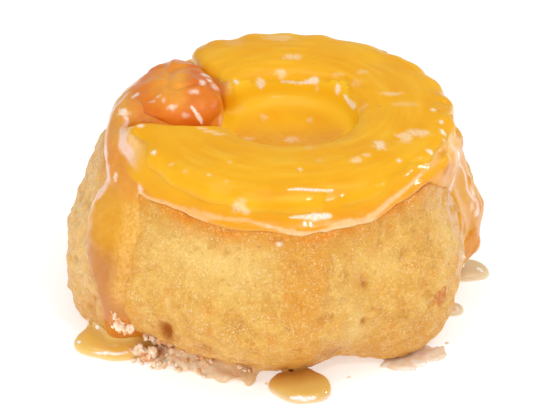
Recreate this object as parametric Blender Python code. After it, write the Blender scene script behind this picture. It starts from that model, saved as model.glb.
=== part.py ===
"""A single-serve pineapple upside-down cake, turned out of a fluted mould and glazed.

Metres, +Z up. The origin is the centre of the cake's base, and the cake's front faces -Y.
Angles run anticlockwise seen from above, from +X. The sponge, the cut pineapple slice, the
cherry in the slice's gap and the pools of syrup round the foot are separate solids.
"""

import math

import bpy
from mathutils import Vector, noise

MM = 0.001
NODE_GAP = 0.3 * MM

# The sponge: a belly over a foot that curls in, tapering to a shoulder.
FOOT_RADIUS = 40.5 * MM
BELLY_RADIUS = 50.8 * MM
BELLY_HEIGHT = 17.0 * MM
SHOULDER_RADIUS = 43.2 * MM
SHOULDER_HEIGHT = 38.0 * MM
TOP_HEIGHT = 41.1 * MM
TAPER_POWER = 1.8
DEPTH_SCALE = 0.98
LEAN = 0.10
TOP_TILT = math.radians(2.7)
TILT_FROM_HEIGHT = 15.0 * MM

# The mould's flutes: uneven lobes, deep at the foot and almost gone at the shoulder.
# Each lobe: the angles of the valleys beside it, and how far it swells at the foot and belly.
LOBES = (
    (298, 345, 3.4 * MM, 1.0 * MM),
    (345, 410, 0.3 * MM, 1.4 * MM),
    (410, 472, 0.2 * MM, 0.4 * MM),
    (472, 532, -0.1 * MM, 0.3 * MM),
    (532, 594, 0.6 * MM, -0.8 * MM),
    (594, 658, -5.2 * MM, -0.5 * MM),
)
VALLEY_DEPTH_FOOT = 7.0 * MM
VALLEY_DEPTH_BELLY = 3.4 * MM
VALLEY_DEPTH_SHOULDER = 1.0 * MM
VALLEY_SOFTNESS = 0.18
FLUTE_BALANCE = 0.75
SWELL_FADE = 0.8

# The cake's mesh: columns round it, and rows up its side and over its top.
COLUMNS = 112
SIDE_HEIGHTS = [
    h * MM for h in (0, 0.7, 1.6, 2.6, 4, 6, 8.5, 11.5, 14.5, 17.5, 20.5, 23.5, 26.5, 29.5, 32.5, 35.2, 37.6)
]
TOP_RINGS = (0.88, 0.66, 0.48, 0.38, 0.26, 0.12)
HOLE_DIP = 1.8 * MM

# The roll of glaze that the slice and the cherry sit in. Its sizes are measured out from the
# slice's edge and up from the slice's seat. It is highest past the cherry and low at the right,
# and at the front right it hugs the slice's side as a thin collar.
ROLL_REACH, ROLL_RISE, ROLL_FOOT = 2.5 * MM, 2.0 * MM, -1.2 * MM
ROLL_CLEARANCE = 0.5 * MM
ROLL_CLEARANCE_BY_CHERRY = 0.7 * MM
ROLL_STEPS = 5
ROLL_BLEND = 0.55
ROLL_TUCK = 0.9 * MM
ROLL_RIPPLES = ((0.35 * MM, 9, 1.0), (0.25 * MM, 14, 0.0))
# Where the roll differs: angle, spread, and what is added to its reach and rise.
ROLL_BY_CHERRY = (math.radians(170), math.radians(32), 1.5 * MM, 2.6 * MM)
ROLL_CHANGES = (
    ROLL_BY_CHERRY,
    (math.radians(14), math.radians(30), -0.7 * MM, -2.9 * MM),
    (math.radians(326), math.radians(20), -1.5 * MM, 1.9 * MM),
)

# Unevenness of the baked surface: broad swells and small crags.
SWELL_HEIGHT, SWELL_SIZE = 0.9 * MM, 17 * MM
CRAG_HEIGHT, CRAG_SIZE = 0.55 * MM, 6 * MM

# The torn crust along the foot at the front left, and the cave above it.
SKIRT_START, SKIRT_END = math.radians(221), math.radians(269)
SKIRT_RADIUS, SKIRT_GROWTH = 41.2 * MM, 3.6 * MM
SKIRT_THICKNESS = 2.1 * MM
SKIRT_RAGS = ((0.5 * MM, 41, 0.0), (0.4 * MM, 67, 1.0))
UNDERCUT_DEPTH, UNDERCUT_HEIGHT, UNDERCUT_SPREAD = 2.6 * MM, 4.6 * MM, 2.0 * MM
CAVE_ANGLE, CAVE_HEIGHT = math.radians(241.5), 13.0 * MM
CAVE_DEPTH, CAVE_WIDTH, CAVE_TALL = 3.0 * MM, 2.0 * MM, 3.2 * MM

# Thick syrup that ran down the side: its thickness, then height, angle and half width on its way.
RUNS = (
    (1.2 * MM, ((0, 219, 5), (5, 222, 4.5), (16, 223, 5), (25, 219, 7), (33, 213, 8.5), (40, 201, 11))),
    (0.6 * MM, ((0, 284, 4), (16, 281, 3.5), (30, 279, 4), (40, 278, 5))),
    (0.9 * MM, ((4, 355, 3), (16, 357, 4), (30, 356, 5), (40, 358, 8))),
    (1.1 * MM, ((0, 60, 5), (16, 56, 4), (30, 52, 5), (40, 52, 7))),
    (1.2 * MM, ((0, 116, 6), (16, 117, 4), (30, 121, 5), (40, 122, 7))),
)
# Fat drops at the right edge: angle, height, half width, half height, thickness.
DROPS = (
    (math.radians(1), 23.0 * MM, 3.6 * MM, 5.2 * MM, 1.9 * MM),
    (math.radians(357), 11.0 * MM, 3.2 * MM, 4.4 * MM, 2.3 * MM),
    (math.radians(3), 36.5 * MM, 2.6 * MM, 2.2 * MM, 1.2 * MM),
    (math.radians(61), 24.0 * MM, 3.2 * MM, 4.4 * MM, 1.4 * MM),
)

# The pineapple slice, cut open at the left.
RING_CENTRE = (6.7 * MM, 0.9 * MM)
RING_OUTER_RADIUS = 39.9 * MM
RING_HOLE_RADIUS = 16.2 * MM
RING_THICKNESS = 9.3 * MM
RING_SQUARENESS = 3.6
RING_GAP_START, RING_GAP_END = math.radians(128), math.radians(184.5)
RING_END_SKEW = math.radians(20)
RING_END_SHARE = 0.10
RING_WOBBLE = 0.6 * MM
RING_SECTIONS, RING_SECTION_POINTS = 100, 20
RING_END_ROUNDING = ((-0.001, 0.4), (0.0, 0.84), (0.005, 0.95), (0.012, 1.0))
EYE_COUNT, EYE_DEPTH = 25, 0.6 * MM
SLICE_SAG = 0.5 * MM
EDGE_DROOP = 0.7 * MM

# The cherry that fills the gap.
CHERRY_HALF_LENGTH = 12.2 * MM
CHERRY_HALF_ANGLE = math.radians(26.2)
CHERRY_TALL = 12.0 * MM
CHERRY_SLOPE = 0.20
CHERRY_SQUARENESS = 2.5
CHERRY_COLUMNS, CHERRY_ROWS = 36, 14
WRINKLE_HEIGHT, WRINKLE_SIZE = 0.7 * MM, 6.5 * MM

# Pools: centre x and y, half widths, turn, thickness, neck's direction, reach and half angle.
POOLS = {
    "syrup_pool_front": (9.2, -45.4, 7.4, 6.2, 0, 2.4, 90, 2.6, 24),
    "syrup_pool_left": (-35.7, -28.4, 9.3, 6.5, -14, 2.4, 40, 1.2, 30),
    "syrup_pool_right": (51.6, 3.9, 6.6, 4.9, -12, 2.1, 180, 1.0, 30),
    "syrup_pool_small": (46.8, -13.4, 3.5, 3.0, 0, 1.5, 160, 0.8, 40),
}
POOL_CLEARANCE = 0.45 * MM
POOL_CLEARANCE_UNDER = 1.4 * MM
POOL_COLUMNS = 36
POOL_PROFILE = ((1.0, 0.0), (0.985, 0.34), (0.94, 0.62), (0.84, 0.84), (0.66, 0.95), (0.4, 0.99), (0.15, 1.0))
POOL_WOBBLE = 0.06


def clear_scene():
    for obj in list(bpy.data.objects):
        bpy.data.objects.remove(obj)


def material(name, colour, roughness, metallic=0.0):
    made = bpy.data.materials.new(name)
    made.use_nodes = True
    shader = made.node_tree.nodes["Principled BSDF"]
    shader.inputs["Base Color"].default_value = (*colour, 1.0)
    shader.inputs["Roughness"].default_value = roughness
    shader.inputs["Metallic"].default_value = metallic
    return made


def smooth_step(low, high, value):
    share = min(1.0, max(0.0, (value - low) / (high - low)))
    return share * share * (3 - 2 * share)


def bell(value, centre, spread):
    return math.exp(-(((value - centre) / spread) ** 2))


def turn_between(angle, other):
    """The signed turn from other to angle, within half a turn either way."""
    return (angle - other + math.pi) % math.tau - math.pi


def lofted(name, loops, made_of):
    """An object whose skin joins closed loops of points, with the first and last loop filled."""
    count = len(loops[0])
    points = [tuple(p) for loop in loops for p in loop]
    faces = [tuple(reversed(range(count)))]
    for row in range(len(loops) - 1):
        base = row * count
        for i in range(count):
            j = (i + 1) % count
            faces.append((base + i, base + j, base + count + j, base + count + i))
    last = (len(loops) - 1) * count
    faces.append(tuple(range(last, last + count)))
    mesh = bpy.data.meshes.new(name)
    mesh.from_pydata(points, [], faces)
    mesh.materials.append(made_of)
    mesh.shade_smooth()
    mesh.set_sharp_from_angle(angle=math.radians(50))
    obj = bpy.data.objects.new(name, mesh)
    bpy.context.scene.collection.objects.link(obj)
    return obj


def side_radius(height):
    """Radius of the plain body at a height."""
    if height < BELLY_HEIGHT:
        fall = 1 - height / BELLY_HEIGHT
        return FOOT_RADIUS + (BELLY_RADIUS - FOOT_RADIUS) * math.sqrt(1 - fall**2)
    rise = (height - BELLY_HEIGHT) / (SHOULDER_HEIGHT - BELLY_HEIGHT)
    return BELLY_RADIUS - (BELLY_RADIUS - SHOULDER_RADIUS) * rise**TAPER_POWER


def flutes(angle, height):
    """How far the mould's flutes push the side out, or in where that is negative."""
    if height < BELLY_HEIGHT:
        share = height / BELLY_HEIGHT
        depth = VALLEY_DEPTH_FOOT + (VALLEY_DEPTH_BELLY - VALLEY_DEPTH_FOOT) * share
    else:
        share = min(1.0, (height - BELLY_HEIGHT) / (SHOULDER_HEIGHT - BELLY_HEIGHT))
        depth = VALLEY_DEPTH_BELLY + (VALLEY_DEPTH_SHOULDER - VALLEY_DEPTH_BELLY) * share
    turn = math.degrees(angle) % 360
    if turn < LOBES[0][0]:
        turn += 360
    start, end, foot_swell, belly_swell = next(lobe for lobe in LOBES if turn < lobe[1] or lobe is LOBES[-1])
    crest = abs(math.sin(math.pi * (turn - start) / (end - start)))
    softened = (math.hypot(crest, VALLEY_SOFTNESS) - VALLEY_SOFTNESS) / (
        math.hypot(1, VALLEY_SOFTNESS) - VALLEY_SOFTNESS
    )
    low = 1 - smooth_step(0, BELLY_HEIGHT, height)
    swell = foot_swell * low + belly_swell * (1 - low)
    fade = 1 - SWELL_FADE * smooth_step(BELLY_HEIGHT, SHOULDER_HEIGHT, height)
    return depth * (softened - FLUTE_BALANCE) + swell * crest * fade


def unevenness(point):
    swell = noise.noise(Vector(point) / SWELL_SIZE)
    crag = noise.noise(Vector(point) / CRAG_SIZE + Vector((7.3, 1.9, 4.1)))
    return SWELL_HEIGHT * swell + CRAG_HEIGHT * crag


def skirt_share(angle):
    return smooth_step(SKIRT_START, SKIRT_START + 0.10, angle) * (
        1 - smooth_step(SKIRT_END - 0.03, SKIRT_END, angle)
    )


def with_skirt(radius, angle, height):
    """The torn crust's thin ledge at the foot, and the undercut above it."""
    share = skirt_share(angle)
    if share == 0:
        return radius
    radius -= share * UNDERCUT_DEPTH * bell(height, UNDERCUT_HEIGHT, UNDERCUT_SPREAD)
    along = (angle - SKIRT_START) / (SKIRT_END - SKIRT_START)
    ragged = sum(size * math.sin(rate * along + start) for size, rate, start in SKIRT_RAGS)
    ledge = SKIRT_RADIUS + SKIRT_GROWTH * math.sin(along * math.pi / 2) + ragged
    on_ledge = share * (1 - smooth_step(SKIRT_THICKNESS - 0.6 * MM, SKIRT_THICKNESS + 0.3 * MM, height))
    return radius + (ledge - radius) * on_ledge


def on_the_way(way, height):
    """Angle and half width of a run at a height, from the stations of its way down."""
    for low, high in zip(way, way[1:]):
        if height <= high[0] * MM or high is way[-1]:
            share = smooth_step(low[0] * MM, high[0] * MM, height)
            angle, half_width = (low[i] + (high[i] - low[i]) * share for i in (1, 2))
            return math.radians(angle), half_width * MM
    raise ValueError("a run needs two stations")


def run_thickness(angle, height, radius):
    """Thickness of the syrup on the side at this place."""
    total = 0.0
    for thickness, way in RUNS:
        centre, half_width = on_the_way(way, height)
        across = abs(turn_between(angle, centre)) * radius / half_width
        total += thickness * (1 - smooth_step(0.6, 1.2, across))
    for drop_angle, drop_height, half_width, half_height, thickness in DROPS:
        across = turn_between(angle, drop_angle) * radius
        total += thickness * bell(across, 0, half_width) * bell(height, drop_height, half_height)
    return total


def slice_edge(angle):
    """Radius of the slice's outer edge about the hole."""
    return RING_OUTER_RADIUS + RING_WOBBLE * math.sin(3 * angle + 0.6)


def seat_height(y):
    return TOP_HEIGHT + y * math.tan(TOP_TILT)


def top_height(y, from_hole_centre):
    """The sponge's top, which dips where the slice's hole leaves it bare."""
    dip = HOLE_DIP * (1 - smooth_step(0.55 * RING_HOLE_RADIUS, 0.95 * RING_HOLE_RADIUS, from_hole_centre))
    return seat_height(y) - dip


def tilted(x, y, height):
    """A body point, lifted towards the back as much as its height calls for."""
    share = smooth_step(TILT_FROM_HEIGHT, SHOULDER_HEIGHT, height)
    return x, y, height + share * y * math.tan(TOP_TILT)


def side_point(angle, height, clearance=0.0):
    """A point of the cake's side."""
    radius = side_radius(height) + flutes(angle, height)
    radius = with_skirt(radius, angle, height)
    place = (radius * math.cos(angle), radius * math.sin(angle), height)
    radius += unevenness(place) * smooth_step(-1.5 * MM, 5 * MM, height)
    across = turn_between(angle, CAVE_ANGLE) * radius
    radius -= CAVE_DEPTH * bell(across, 0, CAVE_WIDTH) * bell(height, CAVE_HEIGHT, CAVE_TALL)
    radius += run_thickness(angle, height, radius)
    if clearance:
        radius += clearance + POOL_CLEARANCE_UNDER * (1 - smooth_step(0, BELLY_HEIGHT / 4, height))
    x = radius * math.cos(angle) + LEAN * height
    y = DEPTH_SCALE * radius * math.sin(angle)
    return tilted(x, y, height)


def roll_size(angle):
    """How far out from the slice's edge the roll of glaze reaches, and how high it rises."""
    reach, rise = ROLL_REACH, ROLL_RISE
    for middle, spread, more_reach, more_rise in ROLL_CHANGES:
        share = bell(turn_between(angle, middle), 0, spread)
        reach += more_reach * share
        rise += more_rise * share
    reach += sum(size * math.sin(rate * angle + start) for size, rate, start in ROLL_RIPPLES)
    return max(reach, ROLL_CLEARANCE + ROLL_CLEARANCE), rise


def roll_loops(side, clearance):
    """The roll of glaze, from the side's last loop over its crest and down to the slice's seat."""
    offsets = [(x - RING_CENTRE[0], y - RING_CENTRE[1]) for x, y, _ in side]
    columns = [(math.atan2(y, x), math.hypot(x, y)) for x, y in offsets]
    loops = []
    for step in range(ROLL_STEPS + 2):
        turn = math.pi / 2 * min(step, ROLL_STEPS) / ROLL_STEPS
        loop = []
        for angle, side_radius_here in columns:
            reach, rise = roll_size(angle)
            reach += ROLL_BLEND * max(0.0, side_radius_here - slice_edge(angle) - reach)
            by_cherry = bell(turn_between(angle, ROLL_BY_CHERRY[0]), 0, ROLL_BY_CHERRY[1])
            inner = ROLL_CLEARANCE + ROLL_CLEARANCE_BY_CHERRY * by_cherry
            out = inner + (reach - inner) * math.cos(turn)
            up = ROLL_FOOT + (rise - ROLL_FOOT) * math.sin(turn)
            if step > ROLL_STEPS:
                out, up = -ROLL_TUCK, 0.0
            radius = slice_edge(angle) + out + clearance
            x = RING_CENTRE[0] + radius * math.cos(angle)
            y = RING_CENTRE[1] + radius * math.sin(angle)
            loop.append((x, y, seat_height(y) + up))
        loops.append(loop)
    return loops


def cake_loops(clearance=0.0):
    """Loops of points from the foot up the side, over the roll of glaze and in to the middle."""
    angles = [math.tau * i / COLUMNS for i in range(COLUMNS)]
    loops = [[side_point(a, h, clearance) for a in angles] for h in SIDE_HEIGHTS]
    middle_x, middle_y = RING_CENTRE
    loops += roll_loops(loops[-1], clearance)
    seat = loops[-1]
    for share in TOP_RINGS:
        loop = []
        for x, y, _ in seat:
            x = middle_x + (x - middle_x) * share
            y = middle_y + (y - middle_y) * share
            loop.append((x, y, top_height(y, math.hypot(x - middle_x, y - middle_y))))
        loops.append(loop)
    return loops


def make_cake():
    sponge = material("sponge", (0.83, 0.55, 0.20), 0.75)
    return lofted("cake", cake_loops(), sponge)


def slice_point(angle, radius, height):
    """A point of the slice, from its angle and radius about the hole and its height on the seat."""
    x = RING_CENTRE[0] + radius * math.cos(angle)
    y = RING_CENTRE[1] + radius * math.sin(angle)
    return x, y, seat_height(y) + NODE_GAP + height


def slice_section(share, size):
    """One closed section of the slice, a share of the way round, shrunk about its middle by size."""
    start, end = RING_GAP_END, RING_GAP_START + math.tau
    plain = start + (end - start) * share
    middle_radius = (RING_OUTER_RADIUS + RING_HOLE_RADIUS) / 2
    half_width = (RING_OUTER_RADIUS - RING_HOLE_RADIUS) / 2
    near_end = max(1 - smooth_step(0, RING_END_SHARE, share), smooth_step(1 - RING_END_SHARE, 1, share))
    section = []
    for i in range(RING_SECTION_POINTS):
        turn = -math.tau * i / RING_SECTION_POINTS
        across, up = (
            math.copysign(abs(f) ** (2 / RING_SQUARENESS), f) for f in (math.cos(turn), math.sin(turn))
        )
        radius = middle_radius + half_width * across * size
        skew = RING_END_SKEW * (RING_OUTER_RADIUS - radius) / (2 * half_width)
        angle = plain + near_end * skew
        if across > 0:
            eyes = abs(math.sin(plain * EYE_COUNT / 2 + 0.8 * math.sin(plain)))
            radius -= EYE_DEPTH * (1 - eyes) * across
            radius += (slice_edge(plain) - RING_OUTER_RADIUS) * across
        height = RING_THICKNESS / 2 * (1 + up * size)
        if up > 0:
            height -= up * SLICE_SAG * (0.5 + 0.5 * math.sin(2 * plain + 1.1))
            height -= up * EDGE_DROOP * smooth_step(0.0, 1.0, across)
        section.append(slice_point(angle, radius, height))
    return section


def make_slice():
    pineapple = material("pineapple", (0.95, 0.48, 0.02), 0.25)
    rounded = RING_END_ROUNDING
    inner = [i / RING_SECTIONS for i in range(2, RING_SECTIONS - 1)]
    stations = list(rounded) + [(s, 1.0) for s in inner] + [(1 - s, size) for s, size in reversed(rounded)]
    return lofted("pineapple_slice", [slice_section(*s) for s in stations], pineapple)


def cherry_point(column, row):
    """A point of the cherry, whose outline in plan fills the slanting gap of the slice."""
    turn = math.tau * column / CHERRY_COLUMNS
    rise = -math.pi / 2 + math.pi * (row + 0.5) / CHERRY_ROWS
    out, up = (
        math.copysign(abs(f) ** (2 / CHERRY_SQUARENESS), f) for f in (math.cos(rise), math.sin(rise))
    )
    along, across = (
        math.copysign(abs(f) ** (2 / CHERRY_SQUARENESS), f) for f in (math.cos(turn), math.sin(turn))
    )
    middle_radius = (RING_OUTER_RADIUS + RING_HOLE_RADIUS) / 2
    half_width = (RING_OUTER_RADIUS - RING_HOLE_RADIUS) / 2
    radius = middle_radius + CHERRY_HALF_LENGTH * along * out
    skew = RING_END_SKEW * (RING_OUTER_RADIUS - radius) / (2 * half_width)
    angle = (RING_GAP_START + RING_GAP_END) / 2 + skew + CHERRY_HALF_ANGLE * across * out
    height = CHERRY_TALL / 2 * (1 + up)
    flat = slice_point(angle, radius, height)
    wrinkle = 1 - abs(noise.noise(Vector(flat) / WRINKLE_SIZE + Vector((3.1, 0, 0)))) * 3
    sink = WRINKLE_HEIGHT * max(0.0, wrinkle) * max(0.0, up)
    slope = CHERRY_SLOPE * (radius - middle_radius) * max(0.0, up)
    return flat[0], flat[1], flat[2] - sink - slope


def make_cherry():
    fruit = material("cherry", (0.80, 0.24, 0.03), 0.2)
    loops = [[cherry_point(c, r) for c in range(CHERRY_COLUMNS)] for r in range(CHERRY_ROWS)]
    return lofted("cherry", loops, fruit)


def pool_loops(x, y, half_x, half_y, turn, thickness, neck_turn, neck, neck_half):
    """Loops of a low dome of syrup with a steep rim, from its outline on the table to its top."""
    turned, neck_at = math.radians(turn), math.radians(neck_turn)
    outline = []
    for i in range(POOL_COLUMNS):
        angle = math.tau * i / POOL_COLUMNS
        local = angle - turned
        reach = half_x * half_y / math.hypot(half_y * math.cos(local), half_x * math.sin(local))
        reach *= 1 + POOL_WOBBLE * math.sin(2 * angle + x) + POOL_WOBBLE / 2 * math.sin(5 * angle + y)
        reach += neck * bell(turn_between(angle, neck_at), 0, math.radians(neck_half))
        outline.append((reach * math.cos(angle), reach * math.sin(angle)))
    return [
        [((x + across * s) * MM, (y + along * s) * MM, thickness * h * MM) for across, along in outline]
        for s, h in POOL_PROFILE
    ]


def make_clearance_cutter(made_of):
    """The cake grown by the pools' clearance, more where its foot curls in over them."""
    loops = cake_loops(POOL_CLEARANCE)
    below = [(x, y, -1 * MM) for x, y, _ in loops[0]]
    cutter = lofted("cake_clearance", [below, *loops], made_of)
    cutter.hide_render = True
    cutter.display_type = "WIRE"
    return cutter


def make_pools():
    syrup = material("syrup", (0.72, 0.42, 0.12), 0.08)
    cutter = make_clearance_cutter(syrup)
    for name, sizes in POOLS.items():
        pool = lofted(name, pool_loops(*sizes), syrup)
        trim = pool.modifiers.new("trim_to_cake", "BOOLEAN")
        trim.operation = "DIFFERENCE"
        trim.object = cutter


clear_scene()
make_cake()
make_slice()
make_cherry()
make_pools()
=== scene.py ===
import math

import bmesh
import bpy
import numpy as np
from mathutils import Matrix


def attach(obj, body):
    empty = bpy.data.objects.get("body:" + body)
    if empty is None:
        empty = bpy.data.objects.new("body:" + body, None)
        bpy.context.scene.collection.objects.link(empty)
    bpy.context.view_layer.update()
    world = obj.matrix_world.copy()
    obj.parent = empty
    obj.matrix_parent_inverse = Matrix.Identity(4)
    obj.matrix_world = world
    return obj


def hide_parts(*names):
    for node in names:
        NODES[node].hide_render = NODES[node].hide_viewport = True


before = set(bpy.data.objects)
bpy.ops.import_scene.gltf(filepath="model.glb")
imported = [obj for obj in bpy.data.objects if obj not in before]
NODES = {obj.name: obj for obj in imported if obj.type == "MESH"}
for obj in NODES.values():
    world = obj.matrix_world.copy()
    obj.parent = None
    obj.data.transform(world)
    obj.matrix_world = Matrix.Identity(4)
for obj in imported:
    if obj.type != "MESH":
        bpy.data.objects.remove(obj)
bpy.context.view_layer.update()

import openvdb as vdb
from mathutils import Vector

MM = 0.001

# Lengths below are millimetres and angles are degrees, in the frame of the CAD. Angles run
# anticlockwise seen from above, from +X, and the front faces -Y.
SEAT_HEIGHT = 41.1
SEAT_TILT = math.tan(math.radians(2.7))
HOLE = (6.7, 0.9)
HOLE_RADIUS = 16.2
MIDDLE_RADIUS = 28

# The film of syrup: its value where there is none, the height that a run starts at on the back
# and on the front, its least distance from the axis, and how deep the glaze reaches inwards.
NO_FILM = -1.6
RUN_TOPS = (50, 47.5)
RUN_START = 28
GLAZE_DEPTH = 1.3

# Fields are sampled on one grid of points.
VOXEL = 0.45
LOW = np.array([-120, -122, -8]) * VOXEL
SHAPE = (256, 240, 134)
BAND = 14.0
WIDE_BAND = 28.0
AXES = [(LOW[i] + VOXEL * np.arange(SHAPE[i])).astype(np.float32) for i in range(3)]
X, Y, Z = (AXES[i].reshape([-1 if i == j else 1 for j in range(3)]) for i in range(3))

# Syrup that ran down the side: height, angle and half width on its way.
CURTAIN = (
    (0, 223, 4), (12, 224.5, 3.6), (14.5, 224, 3.6), (18, 223.5, 4.6), (25, 219.5, 7.5),
    (28.3, 217.2, 8.6), (30.3, 216, 9.2), (32, 215.2, 9.4), (34.5, 215.1, 9), (36.4, 213.8, 8.6),
    (37.8, 212.9, 7.6), (39.3, 212, 7.3), (40.3, 209.6, 8.1), (41.3, 208.2, 8.3), (42.3, 206.7, 8.5),
    (43.3, 198.5, 13.2), (44.2, 193, 15.8), (46, 189, 18),
)
RIGHT_SHEET = (
    (0, 357, 2.5), (4, 357, 3), (8, 357, 3.5), (16, 355.5, 5.1), (24, 354, 6.4), (30, 352, 7.9),
    (36, 352, 8.2), (40, 348, 12), (46, 346, 16),
)
# Each run: thickness, how wavy its edge is, how lumpy its face is, and its way.
RUNS = (
    (0.40, 0.25, 0.2, CURTAIN),
    (0.35, 0.9, 0.9, RIGHT_SHEET),
    (0.30, 0.8, 0.3, ((0, 60, 5), (16, 56, 4), (30, 52, 5), (40, 52, 7))),
    (0.30, 0.8, 0.3, ((0, 116, 6), (16, 117, 4), (30, 121, 5), (40, 122, 7))),
)
# Drops in the sheet at the right: place, reach and height.
DROPS = (
    (52.6, -4.4, 25.2, 2.9, 0.9), (47.4, -16.1, 27.8, 2.2, 0.6), (50.8, -6.5, 15.5, 4.5, 1.2),
    (53.1, -4.3, 13.5, 2.6, 0.7), (42.8, -17.4, 44.5, 2.6, 0.6), (50.6, -3, 31.2, 1.4, 0.6),
)
# Where the sponge is wet, as ways of the same kind.
WET_RUNS = (
    ((0, 280, 4.5), (17, 281, 4), (27, 282, 4.5), (37, 284, 6.5)),
    ((0, 224, 6.5), (16, 223, 7), (30, 217, 9.5), (40, 208, 12)),
    ((0, 350, 5), (16, 352, 7), (30, 350, 10), (40, 350, 14)),
    ((0, 60, 6), (40, 52, 9)),
    ((0, 116, 7), (40, 122, 9)),
)
# The lip of glaze round the slice: its lower edge over the seat, by the angle about the hole.
LIP = (
    (0, -0.8), (25, -0.5), (50, 0.6), (90, 0.3), (130, 0.4), (150, -1), (172, -1.6), (190, -0.5),
    (205, 1.2), (217, 0.3), (228, 1.5), (241, 1.5), (250, 0.6), (262, 1.3), (275, 0.1), (284, 1.2),
    (297, 0.6), (306, 2.4), (318, 3.6), (336, 3.4), (350, 0.8),
)
# Painted highlights and reflections on the syrup and the fruit, as lines: places on the way, each with a
# half width.
# A painted highlight down the left edge of the curtain of syrup.
HEM = (
    (-32, 9.2, 48.9, 0.4), (-33.4, 7.3, 47.8, 0.5), (-35.2, 6.4, 45.5, 0.8), (-36.2, 4.3, 44.1, 0.9),
    (-37.2, 1.2, 43.3, 1.1), (-37.6, -2, 42.8, 0.9), (-37.6, -5.2, 42.2, 0.8), (-36.8, -9.7, 42.3, 0.6),
    (-36.7, -11.8, 41.3, 0.6), (-36.4, -13.9, 40.3, 1.2), (-36.1, -16.4, 39.3, 1),
    (-36.9, -17.5, 37.8, 1.2), (-38.1, -17.8, 36.4, 1.2), (-39.5, -18, 34.5, 0.6),
    (-40.2, -17.6, 32, 0.55), (-40.7, -18.9, 30.3, 0.5), (-40.8, -20.9, 28.3, 0.5),
    (-40.7, -24.5, 25, 0.45), (-40.2, -27.2, 21.5, 0.35),
)
# Painted reflections: pale pink and peach strips on the glaze down the slice's left side.
STRIP_PINK = (
    (-32.1, 1.1, 46.1, 0.3), (-32.6, -1.1, 45.2, 0.7), (-32.6, -7.8, 46.4, 1), (-32.7, -9.8, 45.6, 1.3),
    (-31.5, -12.6, 45.3, 1.3), (-30.3, -15.3, 44.7, 1.1), (-29.1, -18.3, 44.2, 0.8),
    (-28.1, -20.6, 43.7, 0.6), (-27.9, -22.7, 42.7, 0.55), (-27.7, -24.9, 41.8, 0.55),
    (-28, -25.9, 40.6, 0.5),
)
STRIP_PEACH = (
    (-31.1, -5.9, 47.5, 0.8), (-30.6, -9.7, 47.4, 1.1), (-30.1, -12.1, 46.9, 1.3), (-29, -14.5, 46.3, 1.6),
    (-27.9, -17.7, 46, 1.5), (-27.1, -20, 45.2, 0.8), (-27.6, -21.5, 44, 0.5),
)
# Painted highlights along the bead of the lip, at the left and the right.
BEAD_LEFT = (
    (-28, -25.2, 41, 0.5), (-26.4, -27.6, 41, 0.6), (-22.8, -29.8, 41.6, 0.5), (-20.9, -31.4, 41.5, 0.7),
    (-19.4, -32.5, 41.2, 1.1), (-17.5, -33.9, 41.2, 1.4), (-15.3, -35.3, 41.6, 1.5),
    (-13.3, -36.3, 41.7, 1.2), (-10.8, -37.2, 41.8, 0.7), (-7.8, -38.1, 41.9, 0.5),
    (-3.2, -39.3, 42.4, 0.5), (1.6, -40.6, 41.6, 0.5),
)
BEAD_RIGHT = (
    (1.6, -40.6, 41.6, 0.45), (5.1, -41.5, 41.1, 0.55), (9.6, -41.6, 40, 0.7), (12.5, -41.5, 40, 0.7),
    (15, -40.8, 40.4, 0.8), (17, -39.9, 41.2, 1), (19, -39, 41.5, 0.95), (22.7, -37.8, 41, 0.85),
    (24.5, -36.7, 41.3, 0.9), (26.4, -35.2, 42, 0.85), (28.2, -33.3, 42.9, 0.7), (32.3, -29.7, 44.2, 0.55),
    (36.5, -24.5, 45.4, 0.35),
)
# A painted reflection: a peach band on the glaze at the slice's right shoulder.
PEACH_RIGHT = (
    (36, -25, 45.4, 0.5), (39.2, -20.5, 46.5, 1.3), (41.5, -17, 46.6, 1.1), (43, -12, 46.5, 1),
)
# Painted sheen: pale pinkish streaks running down the sheet of syrup at the right.
STRANDS = (
    ((44.6, -10, 46, 0.8), (46.9, -8.4, 41.6, 0.7), (48.6, -3.8, 35.6, 0.5), (49.4, -4.2, 33.3, 0.5),
     (49.6, -6.8, 30.9, 0.5), (50.1, -6.4, 29.8, 0.5), (51.7, -5.2, 26.8, 0.5), (52.3, -5.7, 24, 0.35)),
    ((46.4, -9.6, 38, 0.5), (45.7, -11, 36.7, 0.7), (44.4, -13.6, 35.5, 0.6), (43.9, -19.9, 34, 0.6),
     (44.9, -21.4, 31.1, 0.5)),
    ((46.9, -24.2, 24.3, 0.5), (46.9, -25.4, 22.3, 0.6), (46.5, -25.9, 18.9, 0.5)),
)
# Painted highlights: glint lines round the hole, on the slice's front and on the cherry.
GLINT_LINES = (
    ((20.3, 10, 47.9, 0.25), (21.3, 8.2, 47.3, 0.6), (22, 6.5, 47.3, 0.75), (22.7, 5, 47.5, 0.7),
     (22.9, 4.2, 47.6, 0.3)),
    ((5, 17.1, 47.9, 0.2), (9.7, 17, 47.7, 0.25), (11.7, 16.6, 48.2, 0.5), (13.2, 16.2, 48.8, 0.9)),
    ((6.6, -39.4, 43.2, 0.2), (9.5, -39.2, 43.1, 0.45), (12.5, -39, 43, 0.7), (15.2, -38.5, 43, 0.6)),
    ((6.2, -35.7, 47.9, 0.2), (8.5, -35.6, 48, 0.45), (12, -35.5, 48, 0.35), (16, -35.1, 48, 0.3)),
    ((-16.4, -3, 51.4, 0.25), (-15.2, -4.3, 50.1, 0.45), (-14.4, -4.7, 49, 0.4),
     (-14.2, -4.9, 48.2, 0.2)),
)
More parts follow.
